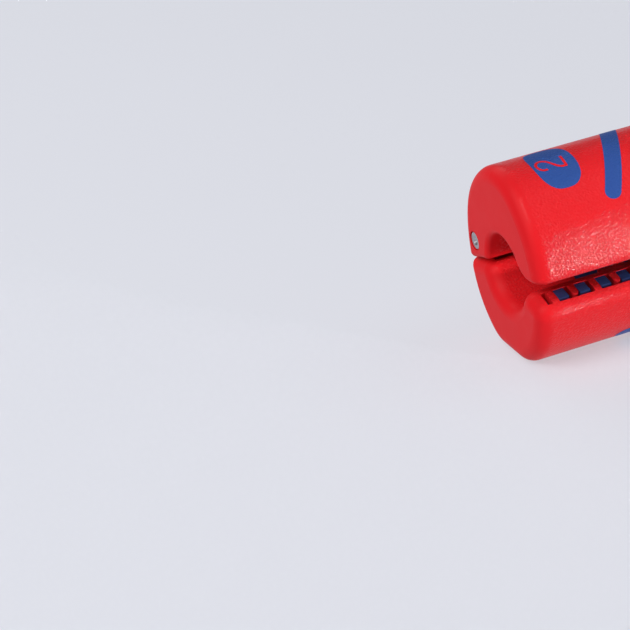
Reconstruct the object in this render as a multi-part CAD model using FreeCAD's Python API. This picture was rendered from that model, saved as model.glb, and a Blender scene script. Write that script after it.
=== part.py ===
import FreeCAD, Part
import math
import os

V = FreeCAD.Vector

# Coaxial cable stripper: two plastic half shells on a hinge, a cutting end at each side.
# Sizes are in mm. X runs along the tool, -Y is the side with the scale, +Y is the hinge side.
# The tool is modelled closed with the lower shell's parting face at Z = 0, then the upper
# half is swung open about the hinge and everything is lifted onto the surface it rests on.

# Body: widths are taken from the channel's axis, heights from the parting face
length = 100.0
near_width = 8.6
far_width = 9.65
side_overhang = 0.2
lower_depth = 9.36
lower_reach = 7.1
lower_corner = 4.2
upper_height = 11.35
near_shoulder = 42.2
far_shoulder = 26.0
end_round = 1.6
closed_gap = 0.3
open_angle = 7.2

# Lower shell: walls, and the sloping rim on the scale side
end_wall = 1.5
lower_wall = 1.4
rim_width = 2.9
slope_angle = 13.0
rim_round = 1.7
rim_plate = 0.9
ledge_gap = 0.1

# Upper shell
upper_wall = 1.6
support_rib = 1.2
edge_round = 0.6

# Cable channel
channel_radius = 4.1
lower_channel_rise = 0.9
upper_channel_step = 0.2
upper_channel_drop = 0.4
collar_wall = 1.1
collar_end = 9.0
lower_mouth_round = 1.8
upper_mouth_round = 0.9
upper_mouth_flare = 3.0

# Scale: ribs across a slot in the sloping rim
scale_pitch = 2.5
scale_ribs = 10
rib_width = 0.8
slot_margin = 0.9
short_rib_gap = 0.4
tooth_front_gap = 0.12
tooth_rear_gap = 0.4
tooth_drop = 0.08
tooth_rim_gap = 0.45
tooth_ledge_gap = 0.05

# Hinge: beyond it both parting faces slope down, so that the upper half can swing open
hinge_inset = 2.7
hinge_slope_start = 5.6
upper_hinge_slope = 10.0
hinge_bend = 6.0
hinge_rim_round = 0.6
boss_end = 4.0
hinge_height = 2.1
pin_radius = 1.1
pin_recess = 0.1
pin_dimple = 0.55
pin_bevel = 0.15
knuckle_radius = 1.7
knuckle_length = 7.0
knuckle_skin_rise = 0.8
lug_length = 3.0
running_clearance = 0.05
seat_clearance = 0.01
hinge_side_gap = 0.25

# Blade cassettes
fit_gap = 0.15
cassette_top_gap = 0.05
lower_cassette_start = 2.2
cassette_end = 27.0
cassette_stop_wall = 1.5
cassette_bore_step = 0.25
upper_cassette_wall = 1.25
upper_cassette_height = 6.2
upper_cassette_round = 2.0
tail_length = 5.0
tail_width = 5.6
tail_thickness = 1.5
lower_tail_level = 3.4
upper_tail_level = 3.2

# Blades
blade_thickness = 0.6
blade_width = 8.8
blade_bevel = 1.0
blade_clearance = 0.05
blade_setback = 12.5
inner_cut_radius = 0.6
sheath_cut_radius = 2.6

# Cassette screws
screw_radius = 1.0
screw_reach = 3.4
head_radius = 1.8
head_height = 1.2
recess_width = 0.5
recess_depth = 0.6
boss_radius = 2.4

# Opening springs
spring_offset = 8.0
spring_side = 0.5
spring_radius = 1.85
wire_radius = 0.25
spring_turns = 3
seat_radius = 3.1
seat_height = 2.0
upper_seat_level = 4.5
guide_pin_radius = 0.95
guide_pin_length = 1.5

# Values worked out from the ones above
half = length / 2
floor_level = lower_wall - lower_depth
upper_channel = channel_radius + upper_channel_step
upper_near = near_width + side_overhang
upper_far = far_width + side_overhang
slope = math.tan(math.radians(slope_angle))
slope_start = near_width - rim_width
slot_outer = near_width - slot_margin
ledge_edge = channel_radius + ledge_gap
hinge_offset = far_width - hinge_inset
cassette_far_side = hinge_offset - knuckle_radius - hinge_side_gap
lower_cassette_bore = channel_radius + cassette_bore_step
upper_cassette_bore = upper_channel + cassette_bore_step
blade_level = lower_corner - lower_depth
lower_channel_z = lower_channel_rise
upper_channel_z = closed_gap - upper_channel_drop
axis_z = (lower_channel_z + upper_channel_z) / 2
knuckle_start = boss_end + hinge_side_gap
knuckle_end = knuckle_start + knuckle_length
lug_start = knuckle_end + hinge_side_gap
lug_end = lug_start + lug_length
boss_place = cassette_end + tail_length / 2


def box(x0, x1, y0, y1, z0, z1):
    """A block between two corners."""
    return Part.makeBox(x1 - x0, y1 - y0, z1 - z0, V(x0, y0, z0))


def rod(radius, start, end):
    """A cylinder from one point to another."""
    axis = end - start
    return Part.makeCylinder(radius, axis.Length, start, axis)


def prism(points, x0, x1):
    """A profile of (y, z) points drawn out along X."""
    corners = [V(x0, y, z) for y, z in points]
    face = Part.Face(Part.makePolygon(corners + [corners[0]]))
    return face.extrude(V(x1 - x0, 0, 0))


def from_end(distance):
    """X of a place that lies a distance behind the front end face."""
    return distance - half


def rear(shape):
    """The same feature at the other end."""
    return shape.mirror(V(0, 0, 0), V(1, 0, 0))


def both_ends(shape):
    """A feature at the front end and its twin at the rear."""
    return [shape, rear(shape)]


def arc(centre, radius, start, end):
    """An arc across the tool between two angles in degrees; 0 points to the hinge side."""
    def at(angle):
        turn = math.radians(angle)
        return centre + V(0, radius * math.cos(turn), radius * math.sin(turn))
    return Part.Arc(at(start), at((start + end) / 2), at(end)).toShape()


def oval_radii(width, height, shoulder):
    """Radii of the crown and the side of a quarter oval whose arcs meet at the shoulder's angle."""
    share = math.tan(math.radians(shoulder / 2))
    crown = (width - height * share) / (1 - share)
    side = crown + (height - crown) / math.sin(math.radians(shoulder))
    return crown, side


def upper_base(base, near, far):
    """The upper section's parting line: level, then bent down on the hinge side."""
    slant = math.radians(upper_hinge_slope)
    bend_start = hinge_slope_start - hinge_bend * math.tan(slant / 2)
    bend = arc(base + V(0, bend_start, -hinge_bend), hinge_bend, 90, 90 - upper_hinge_slope)
    bend_end = bend.Vertexes[-1].Point
    corner = base + V(0, far, -(far - hinge_slope_start) * math.tan(slant))
    return [Part.makeLine(base - V(0, near, 0), base + V(0, bend_start, 0)), bend,
            Part.makeLine(bend_end, corner), Part.makeLine(corner, base + V(0, far, 0))]


def upper_section(x, inset):
    """An oval of four arcs on the parting level, fuller on the hinge side."""
    near_crown, near_side = oval_radii(upper_near, upper_height, near_shoulder)
    far_crown, far_side = oval_radii(upper_far, upper_height, far_shoulder)
    base = V(x, 0, closed_gap)
    arcs = [arc(base + V(0, upper_far - far_side, 0), far_side - inset, 0, far_shoulder),
            arc(base + V(0, 0, upper_height - far_crown), far_crown - inset, far_shoulder, 90),
            arc(base + V(0, 0, upper_height - near_crown), near_crown - inset, 90, 180 - near_shoulder),
            arc(base + V(0, near_side - upper_near, 0), near_side - inset, 180 - near_shoulder, 180)]
    return Part.Wire(arcs + upper_base(base, upper_near - inset, upper_far - inset))


def lower_section(x, inset):
    """A trough with a flat bottom, round corners and bulging sides, open at the parting level."""
    drop = lower_depth - lower_corner
    side = (lower_reach ** 2 + drop ** 2 - lower_corner ** 2) / (2 * (lower_reach - lower_corner))
    turn = math.degrees(math.atan2(drop, side - lower_reach))
    near_flat = lower_reach - near_width
    far_flat = far_width - lower_reach
    bottom = inset - lower_depth
    base = V(x, 0, 0)
    edges = [arc(base + V(0, far_width - side, 0), side - inset, 0, -turn),
             arc(base + V(0, far_flat, -drop), lower_corner - inset, -turn, -90),
             Part.makeLine(base + V(0, far_flat, bottom), base + V(0, near_flat, bottom)),
             arc(base + V(0, near_flat, -drop), lower_corner - inset, -90, turn - 180),
             arc(base + V(0, side - near_width, 0), side - inset, turn - 180, -180),
             Part.makeLine(base - V(0, near_width - inset, 0), base + V(0, far_width - inset, 0))]
    return Part.Wire(edges)


def drawn(wire, reach):
    """A section drawn out along the tool."""
    return Part.Face(wire).extrude(V(reach, 0, 0))


def end_edges(shape, level):
    """Edges round the two end faces, apart from those that bound the parting face."""
    found = []
    for edge in shape.Edges:
        bounds = edge.BoundBox
        on_end = abs(abs(bounds.XMin) - half) < 0.01 and bounds.XLength < 0.01
        on_parting = level - 1 < bounds.ZMin and bounds.ZMax < level + 0.01
        on_parting = on_parting and bounds.YLength > bounds.ZLength
        if on_end and not on_parting:
            found.append(edge)
    return found


def long_edges(shape, low, high):
    """Edges along the tool at both outsides, between two levels."""
    found = []
    for edge in shape.Edges:
        bounds = edge.BoundBox
        outside = abs(edge.CenterOfMass.y) > near_width - lower_wall
        if bounds.XLength > length / 2 and outside and low < bounds.ZMin < high:
            found.append(edge)
    return found


def rim_tool(side, start):
    """What is cut away above a sloping rim; side is -1 for the scale side."""
    reach = 2 * far_width
    drop = (reach - start) * slope
    points = [(side * start, 0), (side * reach, -drop), (side * reach, reach), (side * start, reach)]
    return prism(points, -length, length)


def mouth_outline(radius, centre_z, mouth_z, up, corners, ledges):
    """The channel's outline with round mouth corners; up is 1 for the upper half.

    Corner radii and ledges come hinge side first. A ledge is the line of (y, z) points
    that the outline follows beyond its corner, so that the lip there is rounded too."""
    x = from_end(0)
    sides = []
    for side, blend, ledge in zip((1, -1), corners, ledges):
        lift = up * (mouth_z - centre_z) + blend
        reach = math.sqrt((radius + blend) ** 2 - lift ** 2)
        share = radius / (radius + blend)
        corner = V(x, side * reach, mouth_z)
        touch = V(x, side * reach * share, centre_z + up * lift * share)
        blend_centre = V(x, side * reach, mouth_z + up * blend)
        middle = (corner + touch) * 0.5 - blend_centre
        middle.normalize()
        edges = [Part.Arc(corner, blend_centre + middle * blend, touch).toShape()]
        for y, z in ledge:
            if y > reach:
                point = V(x, side * y, z)
                edges.append(Part.makeLine(corner, point))
                corner = point
        sides.append((edges, touch, corner))
    (far_edges, far_touch, far_end), (near_edges, near_touch, near_end) = sides
    crown = Part.Arc(far_touch, V(x, 0, centre_z + up * radius), near_touch).toShape()
    near_back = V(x, near_end.y, mouth_z - up * radius)
    far_back = V(x, far_end.y, mouth_z - up * radius)
    closing = [Part.makeLine(near_end, near_back), Part.makeLine(near_back, far_back),
               Part.makeLine(far_back, far_end)]
    return Part.Wire(Part.__sortEdges__(far_edges + [crown] + near_edges + closing))


def channel_mouth(outline, mouth_z, up, lip, reach):
    """The channel's way through one end; the lip rounds its edge on the end face."""
    passage = drawn(outline, reach)
    bounds = outline.BoundBox
    front = box(from_end(-2), from_end(0), bounds.YMin - 2 * lip, bounds.YMax + 2 * lip,
                bounds.ZMin - 2 * lip, bounds.ZMax + 2 * lip)
    tool = front.fuse(passage).removeSplitter()
    rim = []
    for edge in tool.Edges:
        place = edge.BoundBox
        on_face = abs(place.XMin - from_end(0)) < 0.01 and place.XLength < 0.01
        inner = place.YMin > bounds.YMin - lip and place.YMax < bounds.YMax + lip
        inner = inner and place.ZMin > bounds.ZMin - lip and place.ZMax < bounds.ZMax + lip
        if on_face and inner and up * (edge.CenterOfMass.z - mouth_z) > -0.01:
            rim.append(edge)
    return tool.makeFillet(lip, rim)


def sloped(shape):
    """Lays a shape that was drawn level onto the sloping rim."""
    shape.rotate(V(0, -slope_start, 0), V(1, 0, 0), slope_angle)
    return shape


def rib_place(number):
    """X of a scale rib, counted from the end face."""
    return from_end(scale_pitch * number)


def scale_slot():
    """The slot through the sloping rim that the ribs cross."""
    end = rib_place(scale_ribs + 1) - rib_width / 2
    return sloped(box(from_end(end_wall), end, -slot_outer, -slope_start, -2 * rim_plate, 1))


def scale_rib(number):
    """One rib: the odd ones reach the rim, the even ones stop short with a round end."""
    x = rib_place(number)
    if number % 2:
        return sloped(box(x - rib_width / 2, x + rib_width / 2, -slot_outer - 0.1,
                          -slope_start + 0.1, -rim_plate, 0))
    tip = -slot_outer + short_rib_gap + rib_width / 2
    bar = box(x - rib_width / 2, x + rib_width / 2, tip, -slope_start + 0.1, -rim_plate, 0)
    end = rod(rib_width / 2, V(x, tip, -rim_plate), V(x, tip, 0))
    return sloped(bar.fuse(end))


def rim_plate_solid(outer):
    """The ledge that carries the scale, between the parting face and the outer wall."""
    drop = rim_width * slope
    points = [(-ledge_edge, 0), (-slope_start, 0), (-near_width, -drop),
              (-near_width, -drop - rim_plate), (-slope_start, -rim_plate), (-ledge_edge, -rim_plate)]
    return prism(points, -half + end_wall / 2, half - end_wall / 2).common(outer)


def lower_cavity(clearance, x0, x1):
    """The room inside the lower shell, or what fits in it with a clearance."""
    inset = lower_wall + clearance
    body = drawn(lower_section(x0, inset), x1 - x0)
    return body.fuse(box(x0, x1, inset - near_width, far_width - inset, 0, 1))


def hinge_axis(x):
    return V(x, hinge_offset, hinge_height)


def knuckle(outer):
    """The lower shell's hinge eye with its foot."""
    x0 = from_end(knuckle_start)
    x1 = from_end(knuckle_end)
    near = hinge_offset - knuckle_radius
    eye = rod(knuckle_radius, hinge_axis(x0), hinge_axis(x1))
    foot = box(x0, x1, near, far_width, -hinge_height, 0).common(outer)
    neck = box(x0, x1, near, far_width, -hinge_height, hinge_height)
    skin = rod(hinge_inset, hinge_axis(x0), hinge_axis(x1))
    skin = skin.common(box(x0, x1, hinge_offset, far_width, 0, hinge_height + knuckle_skin_rise))
    return eye.fuse([foot, neck, skin])


def spring_x():
    return from_end(half - spring_offset)


def lower_shell():
    """Lower half shell with the scale, the channel, the hinge eyes and the spring seats."""
    outer = drawn(lower_section(-half, 0), length)
    outer = outer.cut(rim_tool(-1, slope_start))
    outer = outer.makeFillet(rim_round, long_edges(outer, -slope_start, -0.01))
    outer = outer.makeFillet(end_round, end_edges(outer, 0))
    outer = outer.cut(rim_tool(1, hinge_slope_start))
    hinge_rim = [edge for edge in long_edges(outer, -slope_start, -0.01) if edge.CenterOfMass.y > 0]
    outer = outer.makeFillet(hinge_rim_round, hinge_rim)
    shell = outer.cut(lower_cavity(0, -half + end_wall, half - end_wall))
    collar = rod(channel_radius + collar_wall, V(from_end(end_wall / 2), 0, lower_channel_z),
                 V(from_end(collar_end), 0, lower_channel_z))
    collar = collar.common(box(-half, half, -half, half, -lower_depth, 0))
    added = [rim_plate_solid(outer)] + both_ends(collar) + both_ends(knuckle(outer))
    screw_boss = rod(boss_radius, V(from_end(boss_place), 0, -lower_depth),
                     V(from_end(boss_place), 0, -lower_tail_level - tail_thickness))
    seat = rod(seat_radius, V(spring_x(), -spring_side, -lower_depth),
               V(spring_x(), -spring_side, floor_level + seat_height))
    for post in (screw_boss, seat):
        added += both_ends(post.common(outer))
    shell = shell.fuse(added)
    reach = far_width + end_round
    hinge_ledge = [(hinge_slope_start, 0), (reach, -(reach - hinge_slope_start) * slope)]
    corners = (lower_mouth_round, lower_mouth_round)
    mouth = mouth_outline(channel_radius, lower_channel_z, 0, -1, corners,
                          (hinge_ledge, [(slope_start, 0)]))
    channel = mouth_outline(channel_radius, lower_channel_z, 0, -1, corners, ([], []))
    cuts = both_ends(scale_slot()) + both_ends(channel_mouth(mouth, 0, -1, end_round, boss_end))
    cuts += both_ends(drawn(channel, collar_end + fit_gap))
    cuts += both_ends(blade_slot(blade_level, 0))
    cuts += both_ends(rod(screw_radius + seat_clearance,
                          V(from_end(boss_place), 0, -lower_tail_level - screw_reach - 0.1),
                          V(from_end(boss_place), 0, 0)))
    cuts += both_ends(rod(spring_radius + wire_radius + fit_gap,
                          V(spring_x(), -spring_side, floor_level), V(spring_x(), -spring_side, 0)))
    cuts += both_ends(rod(pin_radius + running_clearance, hinge_axis(from_end(boss_end)),
                          hinge_axis(from_end(lug_start))))
    shell = shell.cut(cuts)
    ribs = []
    for number in range(1, scale_ribs + 1):
        ribs += both_ends(scale_rib(number).common(outer))
    return shell.fuse(ribs).removeSplitter()


def upper_cavity(clearance):
    """The room inside the upper shell, or what fits in it with a clearance."""
    x0 = from_end(end_wall)
    inset = upper_wall + clearance
    body = drawn(upper_section(x0, inset), -2 * x0)
    return body.fuse(box(x0, -x0, inset - upper_near, upper_far - inset, closed_gap - 1, closed_gap))


def hinge_boss(x0, x1, outer):
    """A block in the upper shell that holds the hinge pin."""
    near = cassette_far_side + fit_gap
    block = box(x0, x1, near, upper_far, -hinge_height, 2 * hinge_height)
    return block.common(outer)


def knuckle_room():
    """The cut-out in the upper shell where the lower shell's hinge eye turns."""
    x0 = from_end(boss_end)
    x1 = from_end(lug_start)
    gap = hinge_side_gap
    eye = rod(knuckle_radius + gap, hinge_axis(x0), hinge_axis(x1))
    near = hinge_offset - knuckle_radius - gap
    top = hinge_height + knuckle_radius + gap
    foot = box(x0, x1, near, 2 * hinge_offset, closed_gap - 1, hinge_height)
    outside = box(x0, x1, hinge_offset, 2 * hinge_offset, closed_gap - 1, top)
    return eye.fuse([foot, outside])


def support_ribs(outer):
    """Cross ribs that back the upper cassette; one stands right behind the blade."""
    ribs = []
    for place in (blade_setback / 2, blade_setback, 1.6 * blade_setback):
        x = from_end(place)
        slab = box(x - support_rib / 2, x + support_rib / 2, -half, half,
                   upper_cassette_height + cassette_top_gap, 2 * upper_height)
        ribs += both_ends(slab.common(outer))
    return ribs


def upper_shell():
    """Upper half shell with the channel, the hinge pin bosses and the cassette ribs."""
    outer = drawn(upper_section(-half, 0), length)
    outer = outer.makeFillet(end_round, end_edges(outer, closed_gap))
    outer = outer.makeFillet(edge_round, long_edges(outer, -far_width, closed_gap + 0.01))
    shell = outer.cut(upper_cavity(0))
    collar = rod(upper_channel + collar_wall, V(from_end(end_wall / 2), 0, upper_channel_z),
                 V(from_end(collar_end), 0, upper_channel_z))
    collar = collar.common(box(-half, half, -half, half, closed_gap, upper_height))
    added = both_ends(collar)
    added += both_ends(hinge_boss(from_end(end_wall / 2), from_end(boss_end), outer))
    added += both_ends(hinge_boss(from_end(lug_start), from_end(lug_end), outer))
    added += support_ribs(outer)
    top = closed_gap + upper_height
    screw_boss = rod(boss_radius, V(from_end(boss_place), 0, upper_tail_level + tail_thickness),
                     V(from_end(boss_place), 0, top))
    seat = rod(seat_radius, V(spring_x(), -spring_side, upper_seat_level),
               V(spring_x(), -spring_side, top))
    guide = rod(guide_pin_radius, V(spring_x(), -spring_side, upper_seat_level - guide_pin_length),
                V(spring_x(), -spring_side, top))
    for post in (screw_boss, seat, guide):
        added += both_ends(post.common(outer))
    shell = shell.fuse(added)
    outline = mouth_outline(upper_channel, upper_channel_z, closed_gap, 1,
                            (upper_mouth_round, upper_mouth_flare), ([], []))
    cuts = both_ends(channel_mouth(outline, closed_gap, 1, edge_round, collar_end + fit_gap))
    cuts += both_ends(knuckle_room())
    cuts += both_ends(rod(pin_radius + seat_clearance, hinge_axis(from_end(-1)),
                          hinge_axis(from_end(lug_end + 1))))
    cuts += both_ends(rod(screw_radius + seat_clearance, V(from_end(boss_place), 0, 0),
                          V(from_end(boss_place), 0, upper_tail_level + screw_reach + 0.1)))
    return shell.cut(cuts).removeSplitter()


def channel_bore(radius, centre_z, x0, x1):
    return rod(radius, V(x0, 0, centre_z), V(x1, 0, centre_z))


def scale_tooth(number):
    """A tooth of the lower cassette that stands in one window of the scale."""
    x0 = rib_place(number) + rib_width / 2 + tooth_front_gap
    x1 = rib_place(number + 1) - rib_width / 2 - tooth_rear_gap
    return sloped(box(x0, x1, -slot_outer + tooth_rim_gap, -slope_start - tooth_ledge_gap,
                      -rim_plate - 2 * fit_gap, -tooth_drop))


def lower_cassette():
    """The lower blade carrier; its teeth key into the shell's scale."""
    x0 = from_end(lower_cassette_start)
    x1 = from_end(cassette_end)
    body = lower_cavity(fit_gap, x0, x1)
    body = body.common(box(x0, x1, -near_width, cassette_far_side, -lower_depth, -cassette_top_gap))
    under_rim = rim_plate + fit_gap
    reach = 2 * near_width
    room = [(-ledge_edge + fit_gap, 1), (-ledge_edge + fit_gap, -under_rim),
            (-slope_start, -under_rim), (-reach, -under_rim - (reach - slope_start) * slope), (-reach, 1)]
    body = body.cut(prism(room, x0, x1))
    tail = box(x1 - 1, from_end(cassette_end + tail_length), -tail_width / 2, tail_width / 2,
               -lower_tail_level - tail_thickness, -lower_tail_level)
    teeth = [scale_tooth(number) for number in range(1, scale_ribs + 1)]
    body = body.fuse([tail] + teeth)
    recess = channel_bore(channel_radius + collar_wall + fit_gap, lower_channel_z, x0,
                          from_end(collar_end + fit_gap))
    bore = channel_bore(lower_cassette_bore, lower_channel_z, x0,
                        from_end(cassette_end - cassette_stop_wall))
    slot = blade_slot(blade_level, lower_channel_z)
    hole = rod(screw_radius + fit_gap, V(from_end(boss_place), 0, -lower_depth),
               V(from_end(boss_place), 0, 0))
    return body.cut([recess, bore, slot, hole]).removeSplitter()


def blade_slot(z0, z1):
    """Room for a blade in its cassette."""
    x = from_end(blade_setback)
    side = blade_width / 2 + blade_clearance
    low, high = sorted((z0, z1))
    return box(x - blade_thickness / 2 - blade_clearance, x + blade_thickness / 2 + blade_clearance,
               -side, side, low, high)


def upper_cassette():
    """The upper blade carrier."""
    x0 = from_end(collar_end + fit_gap)
    x1 = from_end(cassette_end)
    body = box(x0, x1, -upper_cassette_bore - upper_cassette_wall, cassette_far_side - fit_gap,
               closed_gap + cassette_top_gap, upper_cassette_height)
    crest = [edge for edge in body.Edges
             if edge.BoundBox.XLength > 1 and edge.BoundBox.ZMin > upper_cassette_height - 0.01]
    body = body.makeFillet(upper_cassette_round, crest)
    tail = box(x1 - 1, from_end(cassette_end + tail_length), -tail_width / 2, tail_width / 2,
               upper_tail_level, upper_tail_level + tail_thickness)
    body = body.common(upper_cavity(fit_gap)).fuse(tail)
    bore = channel_bore(upper_cassette_bore, upper_channel_z, x0,
                        from_end(cassette_end - cassette_stop_wall))
    slot = blade_slot(upper_channel_z, upper_cassette_height)
    hole = rod(screw_radius + fit_gap, V(from_end(boss_place), 0, 0), V(from_end(boss_place), 0, 9))
    return body.cut([bore, slot, hole]).removeSplitter()


def blade(edge_z, back_z):
    """A flat blade with a ground edge, from its cutting edge to its back."""
    x = from_end(blade_setback)
    side = blade_thickness / 2
    bevel = math.copysign(blade_bevel, back_z - edge_z)
    outline = [V(x, 0, edge_z), V(x + side, 0, edge_z + bevel), V(x + side, 0, back_z),
               V(x - side, 0, back_z), V(x - side, 0, edge_z + bevel)]
    face = Part.Face(Part.makePolygon(outline + [outline[0]]))
    face.translate(V(0, -blade_width / 2, 0))
    return face.extrude(V(0, blade_width, 0))


def lower_blade(cut_radius):
    return blade(axis_z - cut_radius, blade_level + blade_clearance)


def upper_blade(cut_radius):
    return blade(axis_z + cut_radius, upper_cassette_height)


def hinge_pin():
    """A steel pin with a small dimple in its visible end."""
    start = from_end(pin_recess)
    pin = rod(pin_radius, hinge_axis(start), hinge_axis(from_end(lug_end)))
    visible_end = [edge for edge in pin.Edges if edge.BoundBox.XMax < start + 0.01]
    pin = pin.makeChamfer(pin_bevel, visible_end)
    dimple = Part.makeCone(pin_dimple, 0, pin_dimple, hinge_axis(start), V(1, 0, 0))
    return pin.cut(dimple)


def cassette_screw(level, up):
    """A pan head screw with a cross recess; up is 1 when it points upwards."""
    x = from_end(boss_place)
    way = V(0, 0, up)
    seat = V(x, 0, level)
    shank = Part.makeCylinder(screw_radius, screw_reach, seat, way)
    head = Part.makeCylinder(head_radius, head_height, seat, way * -1)
    screw = head.fuse(shank)
    top = level - up * head_height
    low, high = sorted((top, top + up * recess_depth))
    wide = 0.6 * head_radius
    thin = recess_width / 2
    along = box(x - wide, x + wide, -thin, thin, low, high)
    across = box(x - thin, x + thin, -wide, wide, low, high)
    return screw.cut([along, across]).removeSplitter()


def spring(base, height):
    """A compression spring wound upwards from its seat, its wire drawn square."""
    coil = height - 2 * wire_radius
    path = Part.makeHelix(coil / spring_turns, coil, spring_radius)
    corners = []
    for step in range(4):
        turn = math.radians(90 * step)
        corners.append(V(spring_radius + wire_radius * math.cos(turn), 0, wire_radius * math.sin(turn)))
    section = Part.makePolygon(corners + [corners[0]])
    body = Part.Wire(path).makePipeShell([section], True, True)
    body.translate(V(spring_x(), -spring_side, base + wire_radius))
    return body


def opened(shape):
    """Swings a piece of the upper half to the rest position."""
    shape.rotate(V(0, hinge_offset, hinge_height), V(1, 0, 0), -open_angle)
    return shape


def spring_height():
    """Free height between the seats when the tool is open."""
    reach = hinge_offset + spring_side - seat_radius
    return upper_seat_level - floor_level + reach * math.sin(math.radians(open_angle)) - 0.1


def build():
    lower = {"lower_shell": lower_shell()}
    upper = {"upper_shell": upper_shell()}
    lower["lower_cassette_front"] = lower_cassette()
    lower["lower_cassette_rear"] = rear(lower_cassette())
    upper["upper_cassette_front"] = upper_cassette()
    upper["upper_cassette_rear"] = rear(upper_cassette())
    lower["lower_inner_blade"] = lower_blade(inner_cut_radius)
    lower["lower_sheath_blade"] = rear(lower_blade(sheath_cut_radius))
    upper["upper_inner_blade"] = upper_blade(inner_cut_radius)
    upper["upper_sheath_blade"] = rear(upper_blade(sheath_cut_radius))
    lower["lower_screw_front"] = cassette_screw(-lower_tail_level, -1)
    lower["lower_screw_rear"] = rear(cassette_screw(-lower_tail_level, -1))
    upper["upper_screw_front"] = cassette_screw(upper_tail_level, 1)
    upper["upper_screw_rear"] = rear(cassette_screw(upper_tail_level, 1))
    upper["hinge_pin_front"] = hinge_pin()
    upper["hinge_pin_rear"] = rear(hinge_pin())
    lower["spring_front"] = spring(floor_level, spring_height())
    lower["spring_rear"] = rear(spring(floor_level, spring_height()))
    for shape in upper.values():
        opened(shape)
    ground = lower["lower_shell"].optimalBoundingBox().ZMin
    middle = (far_width - near_width) / 2
    pieces = {**lower, **upper}
    for shape in pieces.values():
        shape.translate(V(0, -middle, -ground))
    return pieces


os.makedirs("parts", exist_ok=True)
for node, shape in build().items():
    solid = shape.Solids[0]
    print(node, len(shape.Solids), solid.isValid(), round(solid.Volume, 1))
    solid.exportStep("parts/" + node + ".step")
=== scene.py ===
import bpy
import math
from mathutils import Matrix, Vector
from mathutils.bvhtree import BVHTree


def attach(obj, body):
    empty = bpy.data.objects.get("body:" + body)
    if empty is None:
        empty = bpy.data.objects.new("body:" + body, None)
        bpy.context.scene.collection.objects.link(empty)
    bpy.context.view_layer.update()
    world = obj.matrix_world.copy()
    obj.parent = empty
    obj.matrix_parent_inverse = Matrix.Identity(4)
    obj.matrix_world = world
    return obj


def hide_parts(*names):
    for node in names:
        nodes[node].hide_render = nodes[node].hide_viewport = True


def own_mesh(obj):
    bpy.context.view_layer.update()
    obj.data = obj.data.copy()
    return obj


# Coaxial cable stripper: finishes, print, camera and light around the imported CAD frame.
# Lengths are in metres, except where mm() turns them from millimetres.

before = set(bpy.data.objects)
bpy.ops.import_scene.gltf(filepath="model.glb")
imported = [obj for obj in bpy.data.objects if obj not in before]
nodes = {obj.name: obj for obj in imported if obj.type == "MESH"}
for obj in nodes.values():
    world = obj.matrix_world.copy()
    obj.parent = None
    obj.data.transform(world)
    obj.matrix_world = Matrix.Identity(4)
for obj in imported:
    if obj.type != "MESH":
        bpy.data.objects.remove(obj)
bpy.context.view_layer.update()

MM = 0.001

# The tool in the frame: its ends, the height of the parting, and the cable channel's middle
HALF_LENGTH = 0.05
FRONT = -HALF_LENGTH
PARTING = 0.00936
CHANNEL_Y = -0.000525

# Colours
RED = (0.60, 0.0095, 0.0135)
RED_DEEP = (0.66, 0.0115, 0.016)
PRINT_BLUE = (0.030, 0.080, 0.285)
PRINT_BLUE_DEEP = (0.025, 0.066, 0.250)
CASSETTE_BLUE = (0.022, 0.045, 0.155)
CASSETTE_DARK = (0.018, 0.038, 0.135)
CASSETTE_LIGHT = (0.028, 0.055, 0.185)
PAPER = (0.30, 0.30, 0.33)
PAPER_DARK = (0.295, 0.295, 0.325)
PAPER_LIGHT = (0.305, 0.305, 0.335)

# Moulded body: the grain starts behind the end faces and above a smooth edge
GRAIN_SCALE = 4300.0
GRAIN_DETAIL = 0.5
GRAIN_HEIGHT = 0.00010
SMOOTH_END = (0.0013, 0.0024)
END_WANDER = 0.0009
END_WANDER_SCALE = 300.0
SMOOTH_RISE = 0.0009
UPPER_EDGE = PARTING + 0.0008
NO_EDGE = -0.01
TONE_SCALE = 110.0
RIPPLE_SCALE = 420.0
RIPPLE = 0.10
BODY_ROUGHNESS = 0.40
BODY_SPECULAR = 0.06
COAT_ROUGHNESS = 0.09

# Painted highlights: pale specks painted into the colour on the grain's peaks, low on the flank,
# stand in for glints of light
GLINT_PAINT_PEAKS = (0.50, 0.68)
GLINT_PAINT_FADE = (PARTING + 0.0035, PARTING + 0.0085)
GLINT_PAINT_KEEP = 0.86
GLINT_PAINT_WHITE = 0.08

# Cassettes
CASSETTE_ROUGHNESS = 0.42
CASSETTE_FINE_SCALE = 1800.0
CASSETTE_TONE_SCALE = 140.0
CASSETTE_BUMP = 0.00001

# Steels: colour, roughness and how the machining lines are stretched
PIN_STEEL = ((0.40, 0.40, 0.42), 0.34, (1.0, 0.2, 1.0))
BLADE_STEEL = ((0.66, 0.67, 0.69), 0.26, (1.0, 0.08, 1.0))
SCREW_STEEL = ((0.55, 0.55, 0.57), 0.34, (1.0, 1.0, 0.3))
SPRING_STEEL = ((0.52, 0.52, 0.54), 0.30, (0.3, 0.3, 1.0))
STREAK_SCALE = 900.0
STREAK_ROUGHNESS = 0.16
STREAK_BUMP = 0.000006

# Print: how far the sheets lie off the shells, and the radii that they are unrolled from
PRINT_LIFT = 0.00002
FIGURE_LIFT = 0.00004
UPPER_PRINT_RADIUS = 0.0123
LOWER_PRINT_RADIUS = 0.0092
RAY_START = 0.03
SAME_PLACE_DIGITS = 7
BADGE_RINGS = 12
BADGE_STEPS = 72
BADGE_POWER = 2.6
BAR_END_STEPS = 7
BAR_STEPS = 24
BAR_SIDE_STEPS = 2

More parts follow.
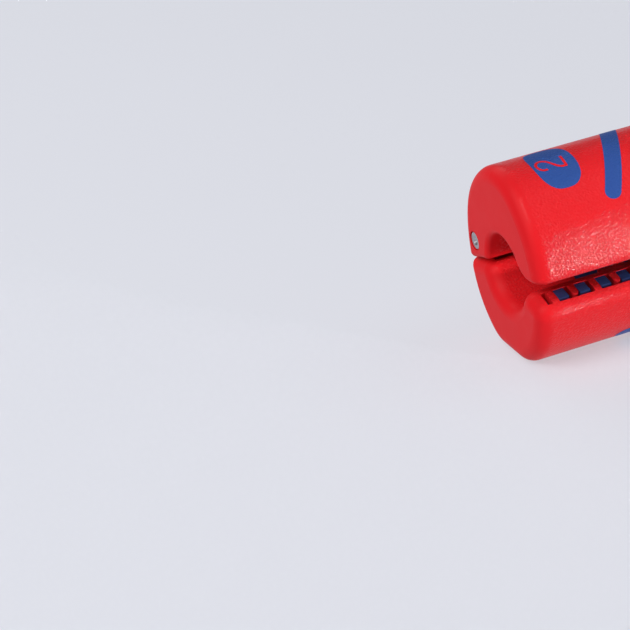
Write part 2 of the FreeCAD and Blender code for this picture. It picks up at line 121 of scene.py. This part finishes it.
# Print, in millimetres: behind the front end, and round from the top
BADGES = (("badge_front", 6.5), ("badge_rear", 93.5))
BADGE_AROUND = 1.2
BADGE_HALF = (2.45, 3.95)
TWO_PLACE = (6.10, 1.5)
TWO_PEN = 0.15
TWO_HOOK_CENTRE = -0.85
TWO_HOOK_HALF = (0.70, 0.80)
TWO_HOOK_TURNS = (200, -35)
TWO_BENDS = ((0.20, -0.40), (0.35, 1.10), (1.50, 0.85))
TWO_FOOT = (1.62, -0.85)
TWO_STEPS = (24, 16, 8)
ONE_FLAG = (94.7, 0.9)
ONE_TOP = (95.3, 1.6)
ONE_FOOT = (91.7, 1.6)
ONE_PEN = 0.13
ONE_STEPS = 10
BAR_COUNT = 12
BAR_FIRST = 11.0
BAR_PITCH = 6.1
BAR_SLANT = 5.0
BAR_LOW = 7.0
BAR_HIGH = -4.5
BAR_HALF = 0.92
BAND_FROM = 11.7
BAND_TO = 88.3
BAND_AROUND = 24.1
BAND_HALF = 1.3

# Camera
CAMERA_RIGHT = (0.92653, -0.34725, -0.14474)
CAMERA_UP = (0.27282, 0.35527, 0.89407)
CAMERA_BACK = (-0.25904, -0.86787, 0.42391)
CAMERA_PLACE = (FRONT - 0.074388, -0.177299, PARTING + 0.088633)
SENSOR_WIDTH = 36.0
LENS = 111.2
CLIP = (0.01, 20.0)

# Floor and light
FLOOR_REACH = 6.0
FLOOR_ROUGHNESS = 0.85
FLOOR_TONE_SCALE = 30.0
FLOOR_SPECULAR = 0.1
FLOOR_GLOW = (0.90, 0.93, 1.0)
FLOOR_GLOW_STRENGTH = 0.48
SKY = (0.95, 0.95, 1.0)
SKY_STRENGTH = 0.18
LIT_POINT = (FRONT + 0.01, 0.0, 0.01)
# Name, place, size, power, spread in degrees
LIGHTS = (("key", (-0.48, -0.18, 0.50), 0.50, 4.1, 180.0),
          ("fill", (0.40, -0.20, 0.55), 0.50, 0.5, 180.0),
          ("low", (0.22, -0.44, 0.05), 0.05, 0.05, 30.0),
          ("rim", (-0.10, 0.45, 0.35), 0.35, 0.6, 180.0))


def mm(*values):
    """Millimetres as metres."""
    return tuple(value * MM for value in values)


def material(name, colour, roughness, metallic=0.0):
    """A new node material, its tree, its shader and the object's coordinates."""
    made = bpy.data.materials.new(name)
    made.use_nodes = True
    tree = made.node_tree
    shader = tree.nodes["Principled BSDF"]
    shader.inputs["Base Color"].default_value = (*colour, 1.0)
    shader.inputs["Roughness"].default_value = roughness
    shader.inputs["Metallic"].default_value = metallic
    place = tree.nodes.new("ShaderNodeTexCoord").outputs["Object"]
    return made, tree, shader, place


def math_node(tree, operation, *values):
    """A sum, product or the like of numbers and outputs."""
    node = tree.nodes.new("ShaderNodeMath")
    node.operation = operation
    for socket, value in zip(node.inputs, values):
        if isinstance(value, float):
            socket.default_value = value
        else:
            tree.links.new(value, socket)
    return node.outputs[0]


def span(tree, value, low, high):
    """Goes smoothly from 0 at low to 1 at high."""
    node = tree.nodes.new("ShaderNodeMapRange")
    node.interpolation_type = "SMOOTHSTEP"
    tree.links.new(value, node.inputs["Value"])
    node.inputs["From Min"].default_value = low
    node.inputs["From Max"].default_value = high
    return node.outputs["Result"]


def mix_colour(tree, share, first, second):
    """From the first colour at share 0 to the second at share 1."""
    node = tree.nodes.new("ShaderNodeMix")
    node.data_type = "RGBA"
    for value, name in ((share, "Factor"), (first, "A"), (second, "B")):
        socket = [s for s in node.inputs if s.name == name and s.enabled][0]
        if isinstance(value, tuple):
            socket.default_value = (*value, 1.0)
        else:
            tree.links.new(value, socket)
    return [s for s in node.outputs if s.enabled][0]


def noise(tree, vector, scale, detail):
    node = tree.nodes.new("ShaderNodeTexNoise")
    node.inputs["Scale"].default_value = scale
    node.inputs["Detail"].default_value = detail
    tree.links.new(vector, node.inputs["Vector"])
    return node.outputs["Fac"]


def bump(tree, height, distance):
    node = tree.nodes.new("ShaderNodeBump")
    node.inputs["Distance"].default_value = distance
    tree.links.new(height, node.inputs["Height"])
    return node.outputs["Normal"]


def grained_share(tree, place, x, z, smooth_edge):
    """1 where the body is grained and 0 by the ends and below the smooth edge."""
    behind = math_node(tree, "SUBTRACT", HALF_LENGTH, math_node(tree, "ABSOLUTE", x))
    wander = math_node(tree, "MULTIPLY", noise(tree, place, END_WANDER_SCALE, 1.0), END_WANDER)
    grained = span(tree, math_node(tree, "ADD", behind, wander), *SMOOTH_END)
    above = math_node(tree, "SUBTRACT", z, smooth_edge)
    return math_node(tree, "MULTIPLY", grained, span(tree, above, 0.0, SMOOTH_RISE))


def painted_glints_on(tree, colour, grain, grained, z, pale, glint_paint_share):
    """The colour with painted highlights: pale specks on the grain's peaks, where the flank is
    low.
    """
    flank = math_node(tree, "SUBTRACT", 1.0, span(tree, z, *GLINT_PAINT_FADE))
    peaks = math_node(tree, "MULTIPLY", span(tree, grain, *GLINT_PAINT_PEAKS), grained)
    share = math_node(tree, "MULTIPLY", math_node(tree, "MULTIPLY", peaks, flank), glint_paint_share)
    return mix_colour(tree, share, colour, pale)


def body_material(name, first, second, smooth_edge, glint=0.0, glint_paint_share=0.0):
    """Moulded plastic: smooth by the ends and the parting, spark-eroded grain on the sides, and
    painted highlights as pale specks on the grain.
    """
    made, tree, shader, place = material(name, first, BODY_ROUGHNESS)
    parts = tree.nodes.new("ShaderNodeSeparateXYZ")
    tree.links.new(place, parts.inputs[0])
    x, z = parts.outputs["X"], parts.outputs["Z"]
    grained = grained_share(tree, place, x, z, smooth_edge)
    grain = noise(tree, place, GRAIN_SCALE, GRAIN_DETAIL)
    colour = mix_colour(tree, noise(tree, place, TONE_SCALE, 3.0), first, second)
    # Painted highlights: pale specks on the grain's peaks, painted into the base colour
    if glint_paint_share:
        pale = tuple(GLINT_PAINT_KEEP * value + GLINT_PAINT_WHITE for value in second)
        colour = painted_glints_on(tree, colour, grain, grained, z, pale, glint_paint_share)
    tree.links.new(colour, shader.inputs["Base Color"])
    ripple = math_node(tree, "MULTIPLY", noise(tree, place, RIPPLE_SCALE, 2.0), RIPPLE)
    tree.links.new(math_node(tree, "ADD", ripple, BODY_ROUGHNESS), shader.inputs["Roughness"])
    rubbed = bump(tree, math_node(tree, "MULTIPLY", grain, grained), GRAIN_HEIGHT)
    tree.links.new(rubbed, shader.inputs["Normal"])
    shader.inputs["Specular IOR Level"].default_value = BODY_SPECULAR
    if glint:
        tree.links.new(rubbed, shader.inputs["Coat Normal"])
        tree.links.new(math_node(tree, "MULTIPLY", grained, glint), shader.inputs["Coat Weight"])
        shader.inputs["Coat Roughness"].default_value = COAT_ROUGHNESS
    return made


def cassette_material():
    """Satin blue plastic."""
    made, tree, shader, place = material("cassette_blue", CASSETTE_BLUE, CASSETTE_ROUGHNESS)
    tone = noise(tree, place, CASSETTE_TONE_SCALE, 2.0)
    tree.links.new(mix_colour(tree, tone, CASSETTE_DARK, CASSETTE_LIGHT),
                   shader.inputs["Base Color"])
    fine = noise(tree, place, CASSETTE_FINE_SCALE, 2.0)
    tree.links.new(bump(tree, fine, CASSETTE_BUMP), shader.inputs["Normal"])
    return made


def metal_material(name, colour, roughness, lines):
    """Steel with fine machining lines."""
    made, tree, shader, place = material(name, colour, roughness, 1.0)
    stretch = tree.nodes.new("ShaderNodeMapping")
    stretch.inputs["Scale"].default_value = lines
    tree.links.new(place, stretch.inputs["Vector"])
    streaks = noise(tree, stretch.outputs[0], STREAK_SCALE, 3.0)
    spread = math_node(tree, "MULTIPLY", streaks, STREAK_ROUGHNESS)
    rough = math_node(tree, "ADD", spread, roughness - STREAK_ROUGHNESS / 2)
    tree.links.new(rough, shader.inputs["Roughness"])
    tree.links.new(bump(tree, streaks, STREAK_BUMP), shader.inputs["Normal"])
    return made


def assign(made, word):
    """Gives the material to every CAD node whose name holds the word."""
    for name in nodes:
        if word in name:
            for slot in nodes[name].material_slots:
                slot.material = made


# The two red shells carry painted highlights: pale specks painted into their colour, low on the
# grained flank
red_upper = body_material("body_red_upper", RED, RED_DEEP, UPPER_EDGE, glint=0.40, glint_paint_share=0.45)
red_lower = body_material("body_red_lower", RED, RED_DEEP, NO_EDGE, glint=0.22, glint_paint_share=0.10)
print_red = body_material("print_red", RED, RED_DEEP, UPPER_EDGE)
print_blue = body_material("print_blue", PRINT_BLUE, PRINT_BLUE_DEEP, NO_EDGE)
cassette_blue = cassette_material()
pin_steel = metal_material("pin_steel", *PIN_STEEL)
blade_steel = metal_material("blade_steel", *BLADE_STEEL)
screw_steel = metal_material("screw_steel", *SCREW_STEEL)
spring_steel = metal_material("spring_steel", *SPRING_STEEL)
assign(red_lower, "lower_shell")
assign(red_upper, "upper_shell")
assign(cassette_blue, "cassette")
assign(blade_steel, "blade")
assign(pin_steel, "hinge_pin")
assign(screw_steel, "screw")
assign(spring_steel, "spring")


class Wrap:
    """Lays print on a shell's outside. A place is how far behind the front end, and how far
    round from the top."""

    def __init__(self, node, body, radius):
        mesh = nodes[node].data
        corners = [vertex.co for vertex in mesh.vertices]
        self.tree = BVHTree.FromPolygons(corners, [face.vertices for face in mesh.polygons])
        self.body = body
        self.radius = radius

    def point(self, along, around, lift):
        turn = around / self.radius
        outward = Vector((0.0, -math.sin(turn), math.cos(turn)))
        centre = Vector((FRONT + along, CHANNEL_Y, PARTING))
        hit = self.tree.ray_cast(centre + outward * RAY_START, -outward)[0]
        return hit + outward * lift

    def piece(self, name, grid, looks, lift=PRINT_LIFT):
        """A sheet from rows of places. Places that coincide share one corner."""
        width = len(grid[0])
        corners, numbers, known = [], [], {}
        for row in grid:
            for along, around in row:
                place = (round(along, SAME_PLACE_DIGITS), round(around, SAME_PLACE_DIGITS))
                if place not in known:
                    known[place] = len(corners)
                    corners.append(self.point(along, around, lift))
                numbers.append(known[place])
        faces = []
        for row in range(len(grid) - 1):
            for column in range(width - 1):
                first = row * width + column
                ring = (first, first + 1, first + width + 1, first + width)
                face = tuple(dict.fromkeys(numbers[corner] for corner in ring))
                if len(face) > 2:
                    faces.append(face)
        mesh = bpy.data.meshes.new(name)
        mesh.from_pydata(corners, [], faces)
        for face in mesh.polygons:
            face.use_smooth = True
        mesh.materials.append(looks)
        made = bpy.data.objects.new(name, mesh)
        bpy.context.collection.objects.link(made)
        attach(made, self.body)


def badge_grid(along, around, half_along, half_around):
    """A rounded field, in rings from its middle outwards."""
    rings = []
    for ring in range(BADGE_RINGS + 1):
        row = []
        for step in range(BADGE_STEPS + 1):
            turn = math.radians(360 * step / BADGE_STEPS)
            c, s = math.cos(turn), math.sin(turn)
            edge = (abs(c) ** BADGE_POWER + abs(s) ** BADGE_POWER) ** (-1 / BADGE_POWER)
            reach = edge * ring / BADGE_RINGS
            row.append((along + half_along * reach * c, around + half_around * reach * s))
        rings.append(row)
    return rings


def bar_grid(start, end, half_width):
    """A straight bar between two places, with a round end beyond each."""
    span_x, span_s = end[0] - start[0], end[1] - start[1]
    reach = math.hypot(span_x, span_s)
    ux, us = span_x / reach, span_s / reach
    head = []
    for step in range(BAR_END_STEPS + 1):
        turn = math.radians(90 * step / BAR_END_STEPS)
        head.append((-half_width * math.cos(turn), half_width * math.sin(turn)))
    middle = [(reach * step / BAR_STEPS, half_width) for step in range(1, BAR_STEPS)]
    tail = [(reach - place, width) for place, width in reversed(head)]
    rows = []
    for place, width in head + middle + tail:
        row = []
        for step in range(-BAR_SIDE_STEPS, BAR_SIDE_STEPS + 1):
            side = width * step / BAR_SIDE_STEPS
            row.append((start[0] + ux * place - us * side, start[1] + us * place + ux * side))
        rows.append(row)
    return rows


def stroke_grid(path, half_width):
    """A pen stroke of one width along a line of places, mitred at its corners."""
    rows = []
    normals = []
    for start, end in zip(path, path[1:]):
        dx, ds = end[0] - start[0], end[1] - start[1]
        reach = math.hypot(dx, ds)
        normals.append((-ds / reach, dx / reach))
    for number, (along, around) in enumerate(path):
        before = normals[max(number - 1, 0)]
        after = normals[min(number, len(normals) - 1)]
        mitre = 1.0 + before[0] * after[0] + before[1] * after[1]
        out = ((before[0] + after[0]) / mitre, (before[1] + after[1]) / mitre)
        rows.append([(along + out[0] * side, around + out[1] * side)
                     for side in (-half_width, 0.0, half_width)])
    return rows


def between(start, end, steps):
    """Places on a straight line, without its start."""
    return [tuple(first + (last - first) * step / steps for first, last in zip(start, end))
            for step in range(1, steps + 1)]


def bent(bends, share):
    """A place on the cubic curve through the first and last bend."""
    rest = 1 - share
    weights = (rest ** 3, 3 * share * rest ** 2, 3 * share * share * rest, share ** 3)
    return tuple(sum(weight * bend[axis] for weight, bend in zip(weights, bends))
                 for axis in (0, 1))


def two_path(along, around):
    """The figure 2: a hook, a bent line and a foot. Its top points to the front end."""
    def at(back, down):
        return (along + back * MM, around + down * MM)

    hook_steps, bend_steps, foot_steps = TWO_STEPS
    first_turn, last_turn = TWO_HOOK_TURNS
    path = []
    for step in range(hook_steps + 1):
        turn = math.radians(first_turn + (last_turn - first_turn) * step / hook_steps)
        path.append(at(TWO_HOOK_CENTRE - TWO_HOOK_HALF[0] * math.sin(turn),
                       -TWO_HOOK_HALF[1] * math.cos(turn)))
    bends = [path[-1]] + [at(*bend) for bend in TWO_BENDS]
    path += [bent(bends, step / bend_steps) for step in range(1, bend_steps + 1)]
    return path + between(path[-1], at(*TWO_FOOT), foot_steps)


def prints():
    """The blue fields, figures, bars and band."""
    upper = Wrap("upper_shell", "upper_half", UPPER_PRINT_RADIUS)
    lower = Wrap("lower_shell", "lower_half", LOWER_PRINT_RADIUS)
    for name, along in BADGES:
        badge = badge_grid(*mm(along, BADGE_AROUND), *mm(*BADGE_HALF))
        upper.piece(name, badge, print_blue)
    two = stroke_grid(two_path(*mm(*TWO_PLACE)), TWO_PEN * MM)
    upper.piece("figure_two", two, print_red, FIGURE_LIFT)
    flag, top, foot = mm(*ONE_FLAG), mm(*ONE_TOP), mm(*ONE_FOOT)
    one = stroke_grid([flag, top] + between(top, foot, ONE_STEPS), ONE_PEN * MM)
    upper.piece("figure_one", one, print_red, FIGURE_LIFT)
    for number in range(BAR_COUNT):
        along = BAR_FIRST + BAR_PITCH * number
        bar = bar_grid(mm(along, BAR_LOW), mm(along + BAR_SLANT, BAR_HIGH), BAR_HALF * MM)
        upper.piece("bar_%02d" % (number + 1), bar, print_blue)
    band = bar_grid(mm(BAND_FROM, BAND_AROUND), mm(BAND_TO, BAND_AROUND), BAND_HALF * MM)
    lower.piece("band_lower", band, print_blue)


def springs():
    """Stand-ins for the two opening springs: copies of their coils in spring steel, carried by
    the lower half, in place of the CAD springs, which are hidden.
    """
    for name in ("spring_front", "spring_rear"):
        made = bpy.data.objects.new(name + "_coil", nodes[name].data.copy())
        made.matrix_world = nodes[name].matrix_world.copy()
        bpy.context.collection.objects.link(made)
        made.material_slots[0].material = spring_steel
        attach(made, "lower_half")
        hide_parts(name)
        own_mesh(made)


def camera():
    """The photograph's camera: seen from the scale side, a little from above, and tilted."""
    data = bpy.data.cameras.new("camera")
    data.sensor_width = SENSOR_WIDTH
    data.lens = LENS
    data.clip_start, data.clip_end = CLIP
    made = bpy.data.objects.new("camera", data)
    turn = Matrix((CAMERA_RIGHT, CAMERA_UP, CAMERA_BACK)).transposed().to_4x4()
    made.matrix_world = Matrix.Translation(CAMERA_PLACE) @ turn
    bpy.context.collection.objects.link(made)
    bpy.context.scene.camera = made
    bpy.context.scene.view_settings.view_transform = "Standard"


def floor():
    """A wide pale surface that fills the picture."""
    mesh = bpy.data.meshes.new("floor")
    corners = [(-FLOOR_REACH, -FLOOR_REACH, 0), (FLOOR_REACH, -FLOOR_REACH, 0),
               (FLOOR_REACH, FLOOR_REACH, 0), (-FLOOR_REACH, FLOOR_REACH, 0)]
    mesh.from_pydata(corners, [], [(0, 1, 2, 3)])
    made = bpy.data.objects.new("floor", mesh)
    bpy.context.collection.objects.link(made)
    paper, tree, shader, place = material("floor_paper", PAPER, FLOOR_ROUGHNESS)
    tone = noise(tree, place, FLOOR_TONE_SCALE, 3.0)
    tree.links.new(mix_colour(tree, tone, PAPER_DARK, PAPER_LIGHT), shader.inputs["Base Color"])
    shader.inputs["Specular IOR Level"].default_value = FLOOR_SPECULAR
    shader.inputs["Emission Color"].default_value = (*FLOOR_GLOW, 1.0)
    shader.inputs["Emission Strength"].default_value = FLOOR_GLOW_STRENGTH
    mesh.materials.append(paper)


def area_light(name, place, size, power, spread):
    """A round light that faces the tool's front end."""
    data = bpy.data.lights.new(name, "AREA")
    data.shape = "DISK"
    data.size = size
    data.energy = power
    data.spread = math.radians(spread)
    made = bpy.data.objects.new(name, data)
    made.location = place
    aim = Vector(LIT_POINT) - Vector(place)
    made.rotation_euler = aim.to_track_quat("-Z", "Y").to_euler()
    bpy.context.collection.objects.link(made)


def studio():
    """The surrounding sky and the lights."""
    world = bpy.data.worlds.new("studio")
    bpy.context.scene.world = world
    world.use_nodes = True
    sky = world.node_tree.nodes["Background"]
    sky.inputs["Color"].default_value = (*SKY, 1.0)
    sky.inputs["Strength"].default_value = SKY_STRENGTH
    for light in LIGHTS:
        area_light(*light)


prints()
springs()
camera()
floor()
studio()
